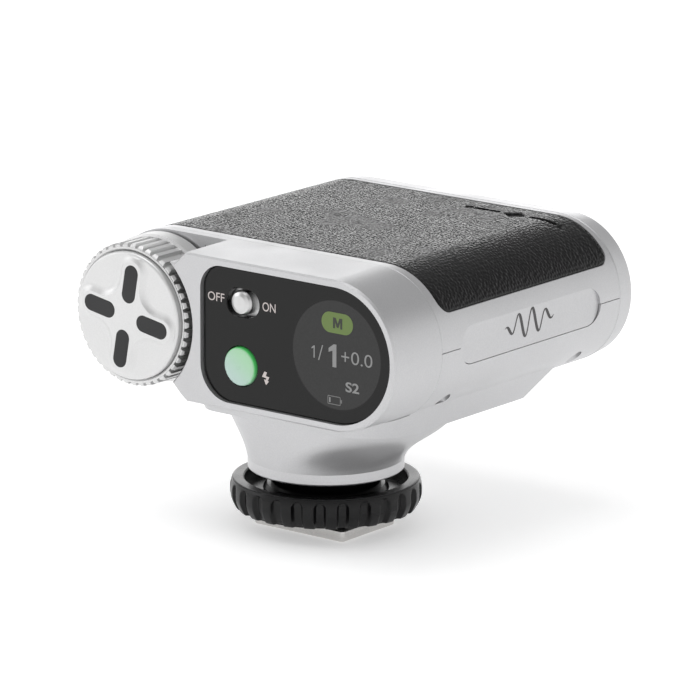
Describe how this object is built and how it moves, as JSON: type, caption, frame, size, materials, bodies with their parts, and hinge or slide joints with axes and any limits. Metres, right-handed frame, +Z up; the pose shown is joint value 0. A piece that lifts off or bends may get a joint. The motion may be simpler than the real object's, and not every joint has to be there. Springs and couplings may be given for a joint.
{
  "type": "on-camera flash",
  "caption": "Compact hot-shoe flash with a round display, control dial, power slider, test button and a lock ring over its shoe foot.",
  "frame": {"origin": "underside of the shoe foot, on the axis of the lock ring and the centre contact", "axes": "+X to the right as the user sees the display, +Y away from the user towards the flash window, which is also the way the foot slides into a shoe, +Z up"},
  "size_m": [0.0672, 0.0647, 0.0473],
  "materials": {
    "casing_silver": "fine satin silver paint on moulded plastic",
    "dial_silver": "bead-blasted and clear anodised",
    "leather_black": "pebble-grain leatherette, low sheen",
    "display_black": "back-printed polished acrylic",
    "screen_grey": "lit display behind the window",
    "board_green": "solder mask over glass-fibre board",
    "switch_body": "moulded housing",
    "knob_silver": "satin plated",
    "button_mint": "translucent, frosted, lit from behind in green",
    "pad_black": "matte inlay",
    "shaft_steel": "turned",
    "bush_brass": "turned",
    "lens_clear": "clear moulded acrylic with fine ribs",
    "reflector_bright": "polished aluminium sheet",
    "tube_glass": "clear quartz tube",
    "sleeve_rubber": "translucent silicone",
    "sensor_red": "dark red filter",
    "chip_black": "moulded epoxy",
    "capacitor_sleeve": "heat-shrunk sleeve over an aluminium can",
    "battery_wrap": "printed film wrap",
    "ferrite_dark": "taped winding on a ferrite core",
    "stem_black": "black anodised",
    "ring_black": "moulded, semi-gloss",
    "foot_metal": "bare metal, finely milled",
    "screw_steel": "zinc plated",
    "contact_gold": "gold flashed",
    "led_green": "clear epoxy, green"
  },
  "bodies": {
    "body": {"rear_bezel": "casing_silver", "top_shell": "casing_silver", "bottom_shell": "casing_silver", "front_bezel": "casing_silver", "leather_cover": "leather_black", "shell_screws": "screw_steel", "display_glass": "display_black", "display_module": "screen_grey", "display_board": "board_green", "slide_switch": "switch_body", "tact_switch": "switch_body", "status_led": "led_green", "dial_encoder": "switch_body", "encoder_bushing": "bush_brass", "encoder_nut": "bush_brass", "fresnel_lens": "lens_clear", "reflector": "reflector_bright", "flash_tube": "tube_glass", "tube_sleeves": "sleeve_rubber", "sensor_window": "sensor_red", "photodiode": "chip_black", "main_capacitor": "capacitor_sleeve", "trigger_transformer": "ferrite_dark", "main_board": "board_green", "battery": "battery_wrap", "power_board": "board_green", "usb_socket": "shaft_steel", "threaded_stem": "stem_black", "neck_screws": "screw_steel", "foot_plate": "foot_metal", "foot_screws": "screw_steel", "contact_carrier": "switch_body", "contact_spring": "shaft_steel"},
    "dial": {"dial_knob": "dial_silver", "dial_cap": "dial_silver", "dial_pads": "pad_black", "dial_shaft": "shaft_steel"},
    "power_knob": {"switch_knob": "knob_silver"},
    "flash_button": {"test_button": "button_mint", "tact_plunger": "switch_body"},
    "washer": {"pressure_washer": "shaft_steel"},
    "ring": {"lock_ring": "ring_black"},
    "contact": {"contact_pin": "contact_gold"}
  },
  "joints": [
    {"name": "dial_turn", "type": "hinge", "parent": "body", "child": "dial", "pos_m": [-0.0249, -0.015, 0.0348], "axis": [0, 1, 0], "continuous": true},
    {"name": "power_slide", "type": "slide", "parent": "body", "child": "power_knob", "axis": [1, 0, 0], "range_m": [-0.0008, 0.0016]},
    {"name": "test_press", "type": "slide", "parent": "body", "child": "flash_button", "axis": [0, 1, 0], "range_m": [0, 0.0005], "stiffness_N_per_m": 1500},
    {"name": "ring_travel", "type": "slide", "parent": "body", "child": "washer", "axis": [0, 0, 1], "range_m": [-0.0002, 0.0013]},
    {"name": "ring_turn", "type": "hinge", "parent": "washer", "child": "ring", "pos_m": [0, 0, 0.0054], "axis": [0, 0, 1], "range_deg": [-90, 480]},
    {"name": "contact_press", "type": "slide", "parent": "body", "child": "contact", "axis": [0, 0, 1], "range_m": [0, 0.0004], "stiffness_N_per_m": 800, "deforming": ["contact_spring"]}
  ],
  "couplings": [
    {"joint": "ring_turn", "follows": "ring_travel", "rad_per_m": 6283.2}
  ]
}
